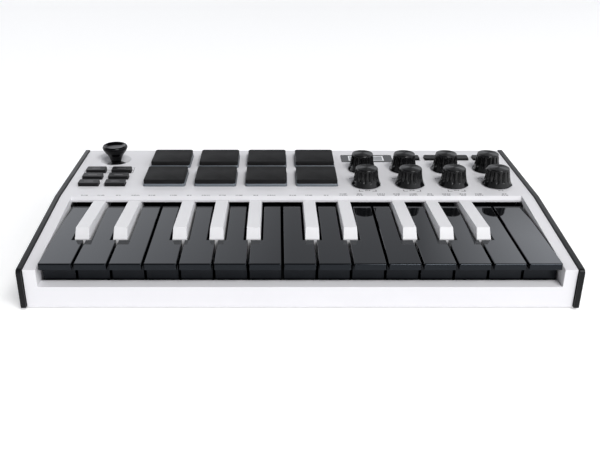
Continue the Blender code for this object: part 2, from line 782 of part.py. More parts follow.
def make_gimbal(material):
    low, high = STICK_Z - GIMBAL_HALF_HEIGHT, STICK_Z + GIMBAL_HALF_HEIGHT
    bottom, top = (STICK_X, STICK_Y, low), (STICK_X, STICK_Y, high)
    ring = rod("joystick_gimbal", bottom, top, GIMBAL_OUTER, STICK_SIDES)
    below, over = (STICK_X, STICK_Y, low - 1), (STICK_X, STICK_Y, high + 1)
    for side in (-1, 1):
        start = (STICK_X + side * (GIMBAL_INNER + 0.6), STICK_Y, STICK_Z)
        end = (STICK_X + side * PIN_REACH, STICK_Y, STICK_Z)
        join(ring, rod("gimbal_pin", start, end, PIN_RADIUS, 8))
    cut(ring, rod("gimbal_room", below, over, GIMBAL_INNER, STICK_SIDES))
    start, end = (STICK_X, STICK_Y - 10, STICK_Z), (STICK_X, STICK_Y + 10, STICK_Z)
    cut(ring, rod("stick_pin_hole", start, end, PIN_RADIUS + GAP, 8))
    settle(ring, (STICK_X, STICK_Y, STICK_Z))
    return link_part(ring, material)


# ---------------------------------------------------------------- boards, display, sockets


def make_main_board(material):
    """The circuit board with the pots, switches, display and joystick posts soldered on it."""
    low = (-BOARD_X, BOARD_Y[0], BOARD_TOP - BOARD_THICKNESS)
    board = box("main_board", low, (BOARD_X, BOARD_Y[1], BOARD_TOP))
    sunk = BOARD_TOP - 0.4
    for y in KNOB_ROWS:
        for x in KNOB_COLUMNS:
            join(board, block("pot", (x, y), POT_SIZE[:2], sunk, BOARD_TOP + POT_SIZE[2]))
    for name, centre, _, _ in buttons():
        join(board, block(name + "_switch", centre, SWITCH_SIZE[:2], sunk, BOARD_TOP + SWITCH_SIZE[2]))
    low = (WINDOW_X[0] - 1, WINDOW_Y[0] - 1, sunk)
    join(board, box("display_module", low, (WINDOW_X[1] + 1, WINDOW_Y[1] + 1, DISPLAY_MODULE_TOP)))
    for side in (-1, 1):
        near, far = sorted((STICK_X + side * 11.0, STICK_X + side * 13.2))
        low, high = (near, STICK_Y - 2.5, sunk), (far, STICK_Y + 2.5, STICK_Z + 2.0)
        join(board, box("gimbal_post", low, high))
    start, end = (STICK_X - 14, STICK_Y, STICK_Z), (STICK_X + 14, STICK_Y, STICK_Z)
    cut(board, rod("gimbal_pin_room", start, end, PIN_RADIUS + GAP, 8))
    return link_part(board, material)


def make_display_lens(material):
    low = (DISPLAY_X[0], DISPLAY_Y[0], DECK - LENS_THICKNESS)
    lens = box("display_lens", low, (DISPLAY_X[1], DISPLAY_Y[1], DECK))
    return link_part(lens, material)


def make_usb_socket(material):
    low = BOARD_TOP + GAP
    half_x = USB_SIZE[0] / 2
    front = SOCKET_REAR - USB_SIZE[1]
    socket = box("usb_socket", (USB_X - half_x, front, low), (USB_X + half_x, SOCKET_REAR, low + USB_SIZE[2]))
    middle = low + USB_SIZE[2] / 2
    mouth_x, mouth_z = USB_MOUTH[0] / 2, USB_MOUTH[1] / 2
    mouth_low = (USB_X - mouth_x, SOCKET_REAR - USB_MOUTH_DEPTH, middle - mouth_z)
    cut(socket, box("usb_mouth", mouth_low, (USB_X + mouth_x, SOCKET_REAR + 1, middle + mouth_z)))
    return link_part(socket, material)


def make_pedal_jack(material):
    low = BOARD_TOP + GAP
    half_x = JACK_SIZE[0] / 2
    middle = low + JACK_SIZE[2] / 2
    body_rear = SHELL_REAR - WALL - GAP
    body_low = (JACK_X - half_x, body_rear - JACK_SIZE[1], low)
    jack = box("pedal_jack", body_low, (JACK_X + half_x, body_rear, low + JACK_SIZE[2]))
    start, end = (JACK_X, body_rear - 0.5, middle), (JACK_X, SOCKET_REAR, middle)
    join(jack, rod("jack_nose", start, end, JACK_NOSE_RADIUS, 24))
    bore_start, bore_end = (JACK_X, SOCKET_REAR - JACK_BORE_DEPTH, middle), (JACK_X, SOCKET_REAR + 1, middle)
    cut(jack, rod("jack_bore", bore_start, bore_end, JACK_BORE_RADIUS, 24))
    return link_part(jack, material)


clear_scene()
parts = new_collection("midi_keyboard")
helpers = new_collection("midi_keyboard_cutters")
helpers.hide_render = True

make_top_shell(new_material("white_plastic", WHITE, 0.45))
make_bottom_case(new_material("black_case_plastic", BLACK, 0.5))
shared_cutters, natural_cutters = key_cutters()
make_naturals(new_material("natural_key_plastic", DARK_GREY, 0.25), shared_cutters, natural_cutters)
make_sharps(new_material("sharp_key_plastic", WHITE, 0.45), shared_cutters)
make_chassis(new_material("chassis_plastic", CHASSIS_GREY, 0.6))
make_pads(new_material("pad_rubber", BLACK, 0.7))
make_buttons(new_material("button_rubber", BUTTON_GREY, 0.6))
make_knobs(new_material("knob_plastic", BLACK, 0.3))
make_joystick(new_material("joystick_plastic", BLACK, 0.2))
make_gimbal(new_material("gimbal_plastic", CHASSIS_GREY, 0.5))
make_main_board(new_material("circuit_board", BOARD_GREEN, 0.5))
make_display_lens(new_material("display_lens", LENS_GREY, 0.15))
make_usb_socket(new_material("socket_metal", STEEL, 0.3, 1.0))
make_pedal_jack(new_material("jack_plastic", BLACK, 0.4))
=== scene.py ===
"""Looks of the midi keyboard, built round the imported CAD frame.

The object's sizes and places are in millimetres, and MM turns them into metres, as the frame has them. The
studio round it is in metres.
"""

import json
import math

import bmesh
import bpy
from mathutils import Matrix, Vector

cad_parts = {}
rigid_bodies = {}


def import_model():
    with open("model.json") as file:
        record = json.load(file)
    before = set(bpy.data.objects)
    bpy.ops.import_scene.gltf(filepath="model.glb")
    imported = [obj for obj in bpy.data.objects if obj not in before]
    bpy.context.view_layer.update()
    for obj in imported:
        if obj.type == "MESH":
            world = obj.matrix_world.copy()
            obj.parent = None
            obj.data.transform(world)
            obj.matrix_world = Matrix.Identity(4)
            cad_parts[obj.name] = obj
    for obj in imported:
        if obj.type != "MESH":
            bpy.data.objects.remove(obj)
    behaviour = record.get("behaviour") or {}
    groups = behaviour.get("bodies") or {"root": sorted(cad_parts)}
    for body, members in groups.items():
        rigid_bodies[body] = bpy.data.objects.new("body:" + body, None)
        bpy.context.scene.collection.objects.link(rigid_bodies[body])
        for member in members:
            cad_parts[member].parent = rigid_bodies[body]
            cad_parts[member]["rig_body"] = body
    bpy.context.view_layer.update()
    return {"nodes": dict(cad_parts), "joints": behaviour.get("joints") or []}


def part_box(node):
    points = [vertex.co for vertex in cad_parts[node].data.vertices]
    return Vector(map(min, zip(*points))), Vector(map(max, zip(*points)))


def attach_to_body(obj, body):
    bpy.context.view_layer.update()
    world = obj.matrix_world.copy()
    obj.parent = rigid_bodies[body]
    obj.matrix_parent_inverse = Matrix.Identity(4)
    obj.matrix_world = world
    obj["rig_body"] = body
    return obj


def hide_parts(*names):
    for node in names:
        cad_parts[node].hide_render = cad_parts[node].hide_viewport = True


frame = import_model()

MM = 0.001
NODES = frame["nodes"]
JOINTS = {joint["child"]: joint for joint in frame["joints"]}
NATURALS = [name for name in NODES if name.startswith("key_") and "sharp" not in name]
SHARPS = [name for name in NODES if name.startswith("key_") and "sharp" in name]
PADS = [name for name in NODES if name.startswith("pad_")]
KNOBS = [name for name in NODES if name.startswith("knob_")]
LEFT_BUTTONS = [name for name in NODES if name.startswith("left_button_")]
RIGHT_BUTTONS = [name for name in NODES if name.startswith("right_button_")]
DECK = JOINTS["knob_1"]["pos_m"][2]    # height of the deck's top
KINK = -2.0 * MM                       # where the deck turns down behind the keys


# ---------------------------------------------------------------- materials

BLOTCH_SCALE = 22.0          # noise scales are in cells to the metre
WEAR_SCALE = 140.0
GLOSS_SCALE = 60.0
SMEAR_SCALE = 95.0
SCUFF_SCALE = 900.0
BRUSHED_SCALE = 1500.0
GRAIN_HEIGHT = 0.03 * MM
BRUSHED_HEIGHT = 0.02 * MM
WORN_PALER = 2.6             # how much paler a worn edge is than the rest
# painted reflection colour: the bluish tint on the naturals' reflections stands in for a bluish backdrop
PAINTED_REFLECTION_TINT = (0.77, 0.87, 1.0)
KNOB_SHOULDER = (11.9, 12.1)     # heights between which a knob's flutes give way to its turned top
TURNED_ROUGHNESS = 0.28          # what the turned top adds to the roughness


def remapped(tree, value, low, high, to_low, to_high):
    """value, stretched from low..high to to_low..to_high and clamped."""
    node = tree.nodes.new("ShaderNodeMapRange")
    for key, number in zip(("From Min", "From Max", "To Min", "To Max"), (low, high, to_low, to_high)):
        node.inputs[key].default_value = number
    tree.links.new(value, node.inputs["Value"])
    return node.outputs["Result"]


def reckoned(tree, operation, first, second):
    """A Math node over two sockets."""
    node = tree.nodes.new("ShaderNodeMath")
    node.operation = operation
    tree.links.new(first, node.inputs[0])
    tree.links.new(second, node.inputs[1])
    return node.outputs["Value"]


class Nodes:
    """A material's node tree, with the Principled shader already in it."""

    def __init__(self, name):
        self.material = bpy.data.materials.new(name)
        self.material.use_nodes = True
        self.tree = self.material.node_tree
        self.shader = self.tree.nodes["Principled BSDF"]
        self.place = self.tree.nodes.new("ShaderNodeTexCoord").outputs["Object"]

    def link(self, out, into):
        self.tree.links.new(out, into)

    def noise(self, scale, detail=3.0, stretch=None, roughness=0.5):
        node = self.tree.nodes.new("ShaderNodeTexNoise")
        node.inputs["Scale"].default_value = scale
        node.inputs["Detail"].default_value = detail
        node.inputs["Roughness"].default_value = roughness
        place = self.place
        if stretch:
            mapping = self.tree.nodes.new("ShaderNodeMapping")
            mapping.inputs["Scale"].default_value = stretch
            self.link(self.place, mapping.inputs["Vector"])
            place = mapping.outputs["Vector"]
        self.link(place, node.inputs["Vector"])
        return node.outputs["Fac"]

    def remap(self, value, low, high, to_low, to_high):
        return remapped(self.tree, value, low, high, to_low, to_high)

    def blend(self, factor, first, second):
        """first where factor is 0, second where it is 1. Each is a colour or a socket."""
        node = self.tree.nodes.new("ShaderNodeMix")
        node.data_type = "RGBA"
        self.link(factor, node.inputs[0])
        for socket, value in ((node.inputs[6], first), (node.inputs[7], second)):
            if isinstance(value, tuple):
                socket.default_value = (*value, 1.0)
            else:
                self.link(value, socket)
        return node.outputs[2]

    def edges(self, low=0.53, high=0.62):
        """0 on flat stretches, rising to 1 along worn convex edges."""
        geometry = self.tree.nodes.new("ShaderNodeNewGeometry")
        return self.remap(geometry.outputs["Pointiness"], low, high, 0.0, 1.0)

    def bump(self, height, strength, distance):
        node = self.tree.nodes.new("ShaderNodeBump")
        node.inputs["Strength"].default_value = strength
        node.inputs["Distance"].default_value = distance
        self.link(height, node.inputs["Height"])
        previous = self.shader.inputs["Normal"].links
        if previous:
            self.link(previous[0].from_socket, node.inputs["Normal"])
        self.link(node.outputs["Normal"], self.shader.inputs["Normal"])


def scaled(colour, factor):
    return tuple(min(1.0, channel * factor) for channel in colour)


def moulded(name, colour, roughness, specular=0.5, grain=0.25, grain_scale=1600.0, spread=0.05, wear=0.0):
    """Moulded plastic or rubber: fine grain, slow blotches in colour and gloss, and paler worn edges."""
    nodes = Nodes(name)
    blotch = nodes.remap(nodes.noise(BLOTCH_SCALE, 3.0), 0.3, 0.7, 0.0, 1.0)
    tint = nodes.blend(blotch, scaled(colour, 1 - spread), scaled(colour, 1 + spread))
    if wear:
        worn = nodes.remap(nodes.noise(WEAR_SCALE, 4.0), 0.4, 0.75, 0.0, wear)
        mask = reckoned(nodes.tree, "MULTIPLY", nodes.edges(), worn)
        tint = nodes.blend(mask, tint, scaled(colour, WORN_PALER))
    nodes.link(tint, nodes.shader.inputs["Base Color"])
    gloss = nodes.remap(nodes.noise(GLOSS_SCALE, 5.0), 0.3, 0.75, roughness * 0.88, roughness * 1.15)
    nodes.link(gloss, nodes.shader.inputs["Roughness"])
    nodes.shader.inputs["Specular IOR Level"].default_value = specular
    nodes.bump(nodes.noise(grain_scale, 2.0), grain, GRAIN_HEIGHT)
    return nodes


def polished(name, colour, roughness, specular):
    """Glossy moulded plastic: hairline scuffs along its length and faint finger smears in the gloss."""
    nodes = moulded(name, colour, roughness, specular, grain=0.04, grain_scale=700.0, spread=0.12, wear=0.25)
    smear = nodes.noise(SMEAR_SCALE, 6.0, (1.0, 0.35, 1.0), 0.62)
    hair = nodes.noise(SCUFF_SCALE, 2.0, (1.0, 0.05, 1.0))
    smears = nodes.remap(smear, 0.35, 0.7, roughness * 0.75, roughness * 1.5)
    scuffs = nodes.remap(hair, 0.62, 0.72, 0.0, 0.03)
    nodes.link(reckoned(nodes.tree, "ADD", smears, scuffs), nodes.shader.inputs["Roughness"])
    return nodes


def cool_gloss(name, colour):
    """The naturals' plastic, with a painted bluish tint on what it mirrors, which stands in for a bluish
    backdrop.
    """
    nodes = polished(name, colour, 0.03, 0.28)
    # painted reflection colour: a bluish backdrop's tint, put into the plastic's specular tint
    nodes.shader.inputs["Specular Tint"].default_value = (*PAINTED_REFLECTION_TINT, 1.0)
    return nodes


def spun(name, colour):
    """Glossy knob plastic: mirror-like flutes, and a turned top whose highlights fan out from the middle."""
    nodes = polished(name, colour, 0.05, 0.32)
    split = nodes.tree.nodes.new("ShaderNodeSeparateXYZ")
    nodes.link(nodes.place, split.inputs["Vector"])
    flutes_end, top_starts = KNOB_SHOULDER
    top = nodes.remap(split.outputs["Z"], flutes_end * MM, top_starts * MM, 0.0, 1.0)
    gloss = nodes.shader.inputs["Roughness"].links[0].from_socket
    duller = nodes.remap(top, 0.0, 1.0, 0.0, TURNED_ROUGHNESS)
    nodes.link(reckoned(nodes.tree, "ADD", gloss, duller), nodes.shader.inputs["Roughness"])
    nodes.link(top, nodes.shader.inputs["Anisotropic"])
    nodes.shader.inputs["Anisotropic Rotation"].default_value = 0.25
    tangent = nodes.tree.nodes.new("ShaderNodeTangent")
    tangent.direction_type = "RADIAL"
    tangent.axis = "Z"
    nodes.link(tangent.outputs["Tangent"], nodes.shader.inputs["Tangent"])
    return nodes


def translucent(name, colour):
    """Milky silicone: light goes a little way in, over a fine moulded grain."""
    nodes = moulded(name, colour, 0.35, 0.5, 0.15, 1200.0, 0.06)
    nodes.shader.inputs["Subsurface Weight"].default_value = 0.35
    nodes.shader.inputs["Subsurface Radius"].default_value = (0.6, 0.8, 1.0)
    nodes.shader.inputs["Subsurface Scale"].default_value = 1.2 * MM
    return nodes


def plated(name, colour, roughness):
    """Plated steel: metallic, brushed along X, with duller patches."""
    nodes = moulded(name, colour, roughness, 0.5, 0.0, 800.0, 0.08, 0.1)
    nodes.shader.inputs["Metallic"].default_value = 1.0
    nodes.bump(nodes.noise(BRUSHED_SCALE, 2.0, (0.04, 1.0, 1.0)), 0.15, BRUSHED_HEIGHT)
    return nodes


# After the name, moulded takes colour, roughness, specular level, grain, grain scale, colour spread and wear.
WHITE_SHELL = moulded("white_shell_plastic", (0.745, 0.738, 0.755), 0.36, 0.25, 0.22, 1500.0, 0.012).material
WHITE_KEY = moulded("sharp_key_plastic", (0.765, 0.76, 0.77), 0.34, 0.2, 0.12, 1500.0, 0.012).material
BLACK_CASE = moulded("cheek_plastic", (0.006, 0.0062, 0.0068), 0.33, 0.17, 0.4, 1300.0, 0.1, 0.5).material
NATURAL_KEY = cool_gloss("natural_key_plastic", (0.0036, 0.0039, 0.0046)).material
PAD_RUBBER = moulded("pad_rubber", (0.007, 0.007, 0.0073), 0.6, 0.13, 0.6, 1100.0, 0.15, 0.3).material
PAD_SKIRT = translucent("pad_skirt_silicone", (0.145, 0.165, 0.185)).material
BUTTON_RUBBER = moulded("button_rubber", (0.0055, 0.0055, 0.006), 0.42, 0.2, 0.5, 1200.0, 0.12, 0.4).material
KNOB_GLOSS = spun("knob_plastic", (0.0035, 0.0035, 0.0038)).material
STICK_GLOSS = polished("joystick_plastic", (0.0025, 0.0025, 0.003), 0.07, 0.13).material
CHASSIS = moulded("chassis_plastic", (0.006, 0.006, 0.0065), 0.55, 0.3, 0.4, 1000.0, 0.1).material
BOARD = moulded("solder_mask", (0.01, 0.05, 0.03), 0.4, 0.5, 0.2, 900.0, 0.15).material
LENS = polished("lens_plastic", (0.040, 0.0425, 0.046), 0.12, 0.35).material
WINDOW = polished("display_glass", (0.262, 0.27, 0.28), 0.08, 0.35).material
WINDOW_LINE = moulded("display_outline", (0.85, 0.86, 0.87), 0.4, 0.5, 0.1, 1200.0, 0.02).material
PRINT = moulded("printed_ink", (0.03, 0.03, 0.034), 0.5, 0.3, 0.1, 2200.0, 0.25).material
PALE_PRINT = moulded("pale_printed_ink", (0.16, 0.16, 0.165), 0.55, 0.3, 0.1, 2200.0, 0.2).material
FOOT_RUBBER = moulded("foot_rubber", (0.012, 0.012, 0.012), 0.75, 0.3, 0.7, 900.0, 0.15).material
STEEL = plated("plated_steel", (0.66, 0.67, 0.69), 0.26).material
SOCKET_PLASTIC = moulded("socket_plastic", (0.008, 0.008, 0.008), 0.45, 0.3, 0.3, 1200.0, 0.1).material
TONGUE_PLASTIC = moulded("tongue_plastic", (0.60, 0.60, 0.58), 0.5, 0.5, 0.2, 1200.0, 0.03).material


# ---------------------------------------------------------------- shapes

WELD_DISTANCE = 0.004 * MM
FLAT_DEGREES = 0.8           # faces that meet at less than this become one
CORNER_DEGREES = 28.0        # an edge that turns by more than this can be rounded off
CREASE_DEGREES = 24.0        # an edge of a rounded piece that turns by more than this is shaded sharp


def add_piece(name, mesh, material, degrees=30.0):
    piece = bpy.data.objects.new(name, mesh)
    bpy.context.scene.collection.objects.link(piece)
    if not mesh.materials:
        mesh.materials.append(material)
    mesh.shade_smooth()
    mesh.set_sharp_from_angle(angle=math.radians(degrees))
    return piece


def mesh_of(name, bm):
    bmesh.ops.recalc_face_normals(bm, faces=bm.faces)
    mesh = bpy.data.meshes.new(name)
    bm.to_mesh(mesh)
    bm.free()
    return mesh


def smoothed(profile, rounds=2):
    """An open profile with its corners cut again and again, which leaves it smooth, and its two ends kept."""
    for _ in range(rounds):
        inner = []
        for (r0, z0), (r1, z1) in zip(profile, profile[1:]):
            inner.append((0.75 * r0 + 0.25 * r1, 0.75 * z0 + 0.25 * z1))
            inner.append((0.25 * r0 + 0.75 * r1, 0.25 * z0 + 0.75 * z1))
        profile = [profile[0], *inner[1:-1], profile[-1]]
    return profile


def turned(name, profile, steps=64, radius_at=None):
    """A closed mesh turned about Z from a (radius, height) profile that runs from the top to the bottom.
    radius_at(radius, height, angle) can shape each point."""
    bm = bmesh.new()
    rings = []
    for r, z in profile:
        if r < 1e-6:
            rings.append([bm.verts.new((0.0, 0.0, z * MM))])
            continue
        ring = []
        for step in range(steps):
            angle = 2 * math.pi * step / steps
            radius = (radius_at(r, z, angle) if radius_at else r) * MM
            ring.append(bm.verts.new((radius * math.cos(angle), radius * math.sin(angle), z * MM)))
        rings.append(ring)
    for upper, lower in zip(rings, rings[1:]):
        for step in range(steps):
            following = (step + 1) % steps
            if len(upper) == 1:
                bm.faces.new((upper[0], lower[step], lower[following]))
            elif len(lower) == 1:
                bm.faces.new((upper[step], lower[0], upper[following]))
            else:
                bm.faces.new((upper[step], lower[step], lower[following], upper[following]))
    return mesh_of(name, bm)


def rounded_outline(size_x, size_y, corner, steps=6):
    """The points of a rectangle with round corners, anticlockwise."""
    x, y = size_x / 2 - corner, size_y / 2 - corner
    points = []
    for quarter, (cx, cy) in enumerate(((x, y), (-x, y), (-x, -y), (x, -y))):
        for step in range(steps + 1):
            angle = math.pi / 2 * (quarter + step / steps)
            points.append((cx + corner * math.cos(angle), cy + corner * math.sin(angle)))
    return points


def slab(name, size, corner, levels):
    """A rounded rectangle stacked through (inset, height) levels, bottom to top."""
    bm = bmesh.new()
    rings = []
    for inset, z in levels:
        outline = rounded_outline(size[0] - 2 * inset, size[1] - 2 * inset, max(0.3, corner - inset))
        rings.append([bm.verts.new((x * MM, y * MM, z * MM)) for x, y in outline])
    count = len(rings[0])
    for lower, upper in zip(rings, rings[1:]):
        for i in range(count):
            bm.faces.new((lower[i], lower[(i + 1) % count], upper[(i + 1) % count], upper[i]))
    bm.faces.new(rings[0])
    bm.faces.new(rings[-1])
    return mesh_of(name, bm)


def rounded_off(bm, width, wanted, segments=4):
    """Bevels the sharp edges that wanted() picks by the positions of their two ends, in millimetres."""
    edges = []
    for edge in bm.edges:
        corner = len(edge.link_faces) == 2 and edge.calc_face_angle(0.0) > math.radians(CORNER_DEGREES)
        if corner and wanted(edge.verts[0].co / MM, edge.verts[1].co / MM):
            edges.append(edge)
    bmesh.ops.bevel(
        bm, geom=edges, offset=width * MM, segments=segments, profile=0.6, affect="EDGES", clamp_overlap=True
    )


def softened(node, name, material, width, wanted, segments=3, first=None):
    """A copy of a CAD node with the edges that wanted() picks rounded off, which then stands for the node.
    first is the (width, wanted, segments) of other edges, which are rounded off before those."""
    bm = bmesh.new()
    bm.from_mesh(NODES[node].data)
    bmesh.ops.remove_doubles(bm, verts=bm.verts, dist=WELD_DISTANCE)
    bmesh.ops.dissolve_limit(bm, angle_limit=math.radians(FLAT_DEGREES), verts=bm.verts, edges=bm.edges)
    if first:
        rounded_off(bm, *first)
    rounded_off(bm, width, wanted, segments)
    piece = add_piece(name, mesh_of(name, bm), material, CREASE_DEGREES)
    weighted = piece.modifiers.new("even_normals", "WEIGHTED_NORMAL")
    weighted.keep_sharp = True
    stand_for(piece, node)


def stand_for(piece, node):
    """Makes a piece replace a CAD node and ride on its body."""
    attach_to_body(piece, NODES[node]["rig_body"])
    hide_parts(node)


def attach(piece, body):
    """Makes a piece that replaces nothing ride on a body."""
    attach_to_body(piece, body)


def middle_of(node):
    low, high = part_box(node)
    return (low + high) / 2


def boxes(name, corners, material, body):
    """One piece of many small blocks, each from a pair of opposite corners."""
    bm = bmesh.new()
    for low, high in corners:
        low, high = Vector(low) * MM, Vector(high) * MM
        made = bmesh.ops.create_cube(bm, size=1.0)["verts"]
        bmesh.ops.scale(bm, vec=high - low, verts=made)
        bmesh.ops.translate(bm, vec=(high + low) / 2, verts=made)
    attach(add_piece(name, mesh_of(name, bm), material), body)


# ---------------------------------------------------------------- case

SHELL_INSIDE = 153.6         # half the width between the shell's side walls
SHELL_SKIN = 0.6             # the shell's inside is further than this below the deck's top
BED_HEIGHT = 12.5            # lower than this, only the front wall's outside shows
FRONT_WALL = -89.0           # the front wall's outside is ahead of this
LOWER_RIM = 0.5              # the shell's lower rim is below this
FASCIA_REACH = 149.0         # half the width of the edge behind the keys
CHEEK_INSIDE = 155.5         # the cheeks are further out than this
FOOT_PLACES = [(x, y) for x in (-140.0, 140.0) for y in (-72.0, 72.0)]
NEAR = 0.1                   # an edge this close to a line is taken to be on it


def on_shell(a, b):
    """The shell's outer edges, leaving out its inside and its lower rim."""
    reach, front, top = max(abs(a.x), abs(b.x)), min(a.y, b.y), max(a.z, b.z)
    inside = reach < SHELL_INSIDE and front > NEAR and top < DECK / MM - SHELL_SKIN
    hidden = top < BED_HEIGHT and front > FRONT_WALL
    return not inside and not hidden and min(a.z, b.z) > LOWER_RIM


def on_fascia(a, b):
    """The edge where the deck turns down behind the keys."""

    def on_line(end):
        return abs(end.y - KINK / MM) < NEAR and abs(end.z - DECK / MM) < NEAR and abs(end.x) < FASCIA_REACH

    return on_line(a) and on_line(b)


def on_cheeks(a, b):
    return min(abs(a.x), abs(b.x)) > CHEEK_INSIDE


def above(height):
    """Picks the edges that are wholly above a height."""
    return lambda a, b: min(a.z, b.z) > height


def behind(y):
    """Picks the edges that are wholly behind a place."""
    return lambda a, b: min(a.y, b.y) > y


def make_case():
    softened("top_shell", "white_shell", WHITE_SHELL, 0.45, on_shell, first=(2.3, on_fascia, 1))
    softened("bottom_case", "black_tray", BLACK_CASE, 0.55, on_cheeks)
    softened("display_lens", "smoked_lens", LENS, 0.15, above(DECK / MM - 0.2), 2)
    for node, material in (("keybed_chassis", CHASSIS), ("main_board", BOARD), ("joystick_gimbal", CHASSIS)):
        NODES[node].data.materials.clear()
        NODES[node].data.materials.append(material)


def make_feet():
    """Rubber feet over the case's four bosses, dished underneath."""
    top = [(0.0, 1.25), (6.6, 1.25), (6.9, 0.9)]
    sole = [(6.7, 0.15), (6.4, -0.02), (4.6, -0.02), (4.2, 0.0), (0.0, 0.0)]
    mesh = turned("rubber_foot_shape", top + sole, 48)
    for number, (x, y) in enumerate(FOOT_PLACES, 1):
        foot = add_piece(f"rubber_foot_{number}", mesh, FOOT_RUBBER)
        foot.location = (x * MM, y * MM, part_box("bottom_case")[0].z)
        attach(foot, "case")


# ---------------------------------------------------------------- keys

KEY_REAR = -5.0              # a natural's edges behind this are under the deck
LIP_DROP = 0.9               # how far the rounded lip reaches below a natural's top
SHARP_SIDES = 28.6           # a sharp's edges below this are between the naturals


def make_natural(node):
    """A natural, with a broad round lip along its front and a finer one round its top."""
    low, high = (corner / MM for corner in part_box(node))

    def on_lip(a, b):
        return max(a.y, b.y) < low.y + NEAR and max(a.z, b.z) > high.z - NEAR

    def on_top(a, b):
        return min(a.z, b.z) > high.z - LIP_DROP and max(a.y, b.y) < KEY_REAR

    softened(node, node.replace("key", "natural"), NATURAL_KEY, 0.4, on_top, first=(0.8, on_lip, 5))


def on_sharp(a, b):
    return max(a.z, b.z) > SHARP_SIDES


def make_keys():
    for node in NATURALS:
        make_natural(node)
    for node in SHARPS:
        softened(node, node.replace("key", "upper"), WHITE_KEY, 0.28, on_sharp)


# ---------------------------------------------------------------- pads and buttons

PAD_SIZE = (28.2, 28.2)
DASH_SIZE = (6.0, 0.85)
DASH_FORWARD = 0.075         # how far a dash is in front of the middle of its button


def make_pads():
    """Each pad is a black cap on a translucent skirt, which has a stem and a flange under the deck."""
    stem = [(9.1, -19.4), (9.1, -4.0)]
    flange = [(-1.2, -4.0), (-1.2, -2.5)]
    wall = [(0.0, -2.5), (0.0, 1.45), (0.2, 1.68)]
    cap_levels = [(0.35, 1.6), (0.2, 1.75), (0.2, 3.6), (0.27, 3.95), (0.47, 4.2), (0.8, 4.36), (1.3, 4.42)]
    skirt = slab("pad_skirt_shape", PAD_SIZE, 1.6, stem + flange + wall)
    cap = slab("pad_cap_shape", PAD_SIZE, 1.9, cap_levels)
    for node in PADS:
        place = middle_of(node)
        place.z = DECK
        lower = add_piece(node.replace("pad", "pad_skirt"), skirt, PAD_SKIRT)
        lower.location = place
        stand_for(lower, node)
        upper = add_piece(node.replace("pad", "pad_cap"), cap, PAD_RUBBER)
        upper.location = place
        attach(upper, node)


def make_buttons():
    for node in LEFT_BUTTONS + RIGHT_BUTTONS:
        softened(node, node + "_cap", BUTTON_RUBBER, 0.22, above(DECK / MM + 0.5))
    width, depth = DASH_SIZE
    for node in LEFT_BUTTONS:
        middle, top = middle_of(node) / MM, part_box(node)[1].z / MM
        x, y = middle.x, middle.y - DASH_FORWARD
        dash = ((x - width / 2, y - depth / 2, top - 0.02), (x + width / 2, y + depth / 2, top + 0.03))
        boxes(node + "_print", [dash], PALE_PRINT, node)


# ---------------------------------------------------------------- knobs and joystick

FLUTES = 14
FLUTE_STEPS = 16
FLUTE_DEPTH = 0.95
FLUTE_SHARPNESS = 2.2        # the higher, the narrower the flutes and the broader the ribs between them
POINTER = math.radians(-25.0)
POINTER_REACH = 0.45
POINTER_SPREAD = 0.07        # in radians round the knob
SKIRT_RADIUS = 8.0           # the pointer is on the part that is broader than this
BALL_OUTSIDE = 10.5          # radii of the joystick's hollow dome, about its pivot
BALL_INSIDE = 9.1


def rise(value, low, high):
    """0 below low, 1 above high, smooth between."""
    t = min(1.0, max(0.0, (value - low) / (high - low)))
    return t * t * (3 - 2 * t)


def knob_radius(r, z, angle):
    """Cuts the flutes into a knob's body, and adds a small pointer at the foot of it."""
    depth = FLUTE_DEPTH * rise(z, 3.3, 4.5) * (1 - rise(z, 10.7, 11.4))
    groove = (0.5 + 0.5 * math.cos(FLUTES * angle)) ** FLUTE_SHARPNESS
    off = (angle - POINTER + math.pi) % (2 * math.pi) - math.pi
    ridge = POINTER_REACH * math.exp(-((off / POINTER_SPREAD) ** 2))
    pointer = ridge * rise(z, 0.3, 0.7) * (1 - rise(z, 1.6, 2.4))
    return r - depth * groove + pointer * (r > SKIRT_RADIUS)


def make_knobs():
    """Each knob has a low domed top, a rounded rim, a fluted body that flares to a skirt, and a shaft."""
    rings = 8
    dome = [(6.8 * i / rings, 12.3 + 0.3 * (1 - (i / rings) ** 2)) for i in range(rings + 1)]
    rim = [(7.1, 12.22), (7.35, 12.0), (7.5, 11.65), (7.58, 11.0)]
    body = [(7.58, 11.0), (7.75, 9.6), (7.95, 8.0), (8.2, 6.4), (8.5, 4.9), (8.9, 3.4)]
    skirt = [(9.4, 2.1), (9.9, 1.2), (10.0, 0.7)]
    under = [(9.85, 0.6), (3.0, 0.6), (3.0, -13.7), (0.0, -13.7)]
    profile = dome + rim + smoothed(body + skirt)[1:] + under
    mesh = turned("knob_shape", profile, FLUTES * FLUTE_STEPS, knob_radius)
    for node in KNOBS:
        cap = add_piece(node.replace("knob", "knob_cap"), mesh, KNOB_GLOSS, 35.0)
        cap.location = JOINTS[node]["pos_m"]
        stand_for(cap, node)


def arc(radius, angles):
    """Points of a profile, this far from its origin and these angles above level, in degrees."""
    turns = [math.radians(angle) for angle in angles]
    return [(radius * math.cos(turn), radius * math.sin(turn)) for turn in turns]


